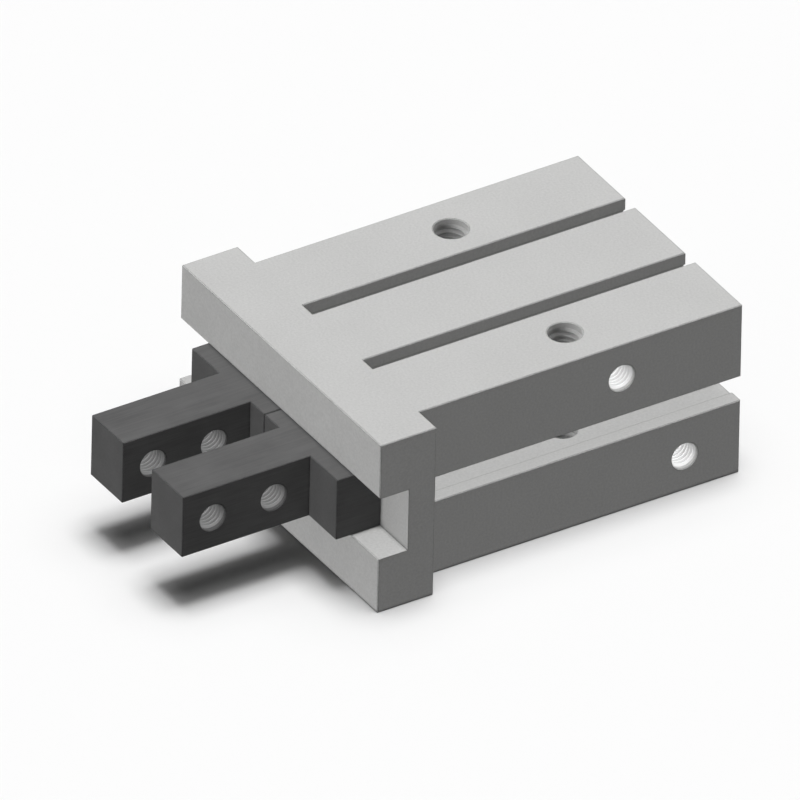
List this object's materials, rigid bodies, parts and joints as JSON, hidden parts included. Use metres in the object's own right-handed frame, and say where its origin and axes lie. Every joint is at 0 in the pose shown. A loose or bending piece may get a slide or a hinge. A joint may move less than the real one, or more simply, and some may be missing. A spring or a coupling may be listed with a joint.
{
  "type": "pneumatic parallel gripper",
  "caption": "Pneumatic parallel gripper with a grooved aluminium body, a wide front flange and steel fingers that slide apart in its channel.",
  "frame": {"origin": "middle of the flat rear face, at the centre of the rear bolt pattern", "axes": "+Y out of the rear face, away from the fingers; +X along the finger travel, towards the side with the air ports; +Z through the thickness, up as in the picture"},
  "size_m": [0.063, 0.1027, 0.0336],
  "materials": {
    "anodised_body": "hard anodised, matt light grey",
    "anodised_cap": "turned and anodised",
    "turned_aluminium": "turned",
    "finger_steel": "ground, dark",
    "hardened_steel": "hardened and ground",
    "bearing_steel": "polished",
    "lever_steel": "hardened",
    "plain_steel": "machined",
    "spring_steel": "phosphated, dark",
    "chromed_rod": "hard chromed and ground",
    "bronze": "sintered",
    "nitrile_rubber": "moulded, black",
    "bumper_rubber": "moulded, black",
    "magnet": "bonded magnet, matt",
    "acetal": "machined"
  },
  "bodies": {
    "gripper_body": {"housing": "anodised_body", "end_cap": "anodised_cap", "cap_gasket": "nitrile_rubber", "retaining_clip": "spring_steel", "rear_bumper": "bumper_rubber", "front_bumper": "bumper_rubber", "rod_seal": "nitrile_rubber", "seal_retainer": "plain_steel", "guide_rail": "hardened_steel", "rail_screws": "plain_steel", "lever_shaft_left": "hardened_steel", "lever_shaft_right": "hardened_steel"},
    "piston_assembly": {"piston": "turned_aluminium", "piston_seal": "nitrile_rubber", "magnet_ring": "magnet", "guide_ring": "acetal", "piston_rod": "chromed_rod", "piston_nut": "plain_steel", "crosshead": "plain_steel", "drive_pins": "hardened_steel"},
    "left_lever": {"lever_left": "lever_steel", "lever_bush_left": "bronze"},
    "right_lever": {"lever_right": "lever_steel", "lever_bush_right": "bronze"},
    "left_finger": {"finger_left": "finger_steel", "roller_stops_left": "plain_steel"},
    "right_finger": {"finger_right": "finger_steel", "roller_stops_right": "plain_steel"},
    "left_roller_rows": {"guide_rollers_left": "bearing_steel"},
    "right_roller_rows": {"guide_rollers_right": "bearing_steel"}
  },
  "joints": [
    {"name": "piston_slide", "type": "slide", "parent": "gripper_body", "child": "piston_assembly", "axis": [0, -1, 0], "range_m": [0, 0.00561]},
    {"name": "right_lever_swing", "type": "hinge", "parent": "gripper_body", "child": "right_lever", "pos_m": [0.0124, -0.06212, 0], "axis": [0, 0, 1], "range_deg": [0, 33.92]},
    {"name": "right_finger_slide", "type": "slide", "parent": "gripper_body", "child": "right_finger", "axis": [1, 0, 0], "range_m": [0, 0.007]},
    {"name": "right_roller_travel", "type": "slide", "parent": "gripper_body", "child": "right_roller_rows", "axis": [1, 0, 0], "range_m": [0, 0.0035]},
    {"name": "left_lever_swing", "type": "hinge", "parent": "gripper_body", "child": "left_lever", "pos_m": [-0.0124, -0.06212, 0], "axis": [0, 0, -1], "range_deg": [0, 33.92]},
    {"name": "left_finger_slide", "type": "slide", "parent": "gripper_body", "child": "left_finger", "axis": [-1, 0, 0], "range_m": [0, 0.007]},
    {"name": "left_roller_travel", "type": "slide", "parent": "gripper_body", "child": "left_roller_rows", "axis": [-1, 0, 0], "range_m": [0, 0.0035]}
  ],
  "couplings": [
    {"joint": "right_lever_swing", "follows": "piston_slide", "rad_per_m": 105.5},
    {"joint": "right_finger_slide", "follows": "piston_slide", "ratio": 1.2476},
    {"joint": "right_roller_travel", "follows": "piston_slide", "ratio": 0.62381},
    {"joint": "left_lever_swing", "follows": "piston_slide", "rad_per_m": 105.5},
    {"joint": "left_finger_slide", "follows": "piston_slide", "ratio": 1.2476},
    {"joint": "left_roller_travel", "follows": "piston_slide", "ratio": 0.62381}
  ]
}
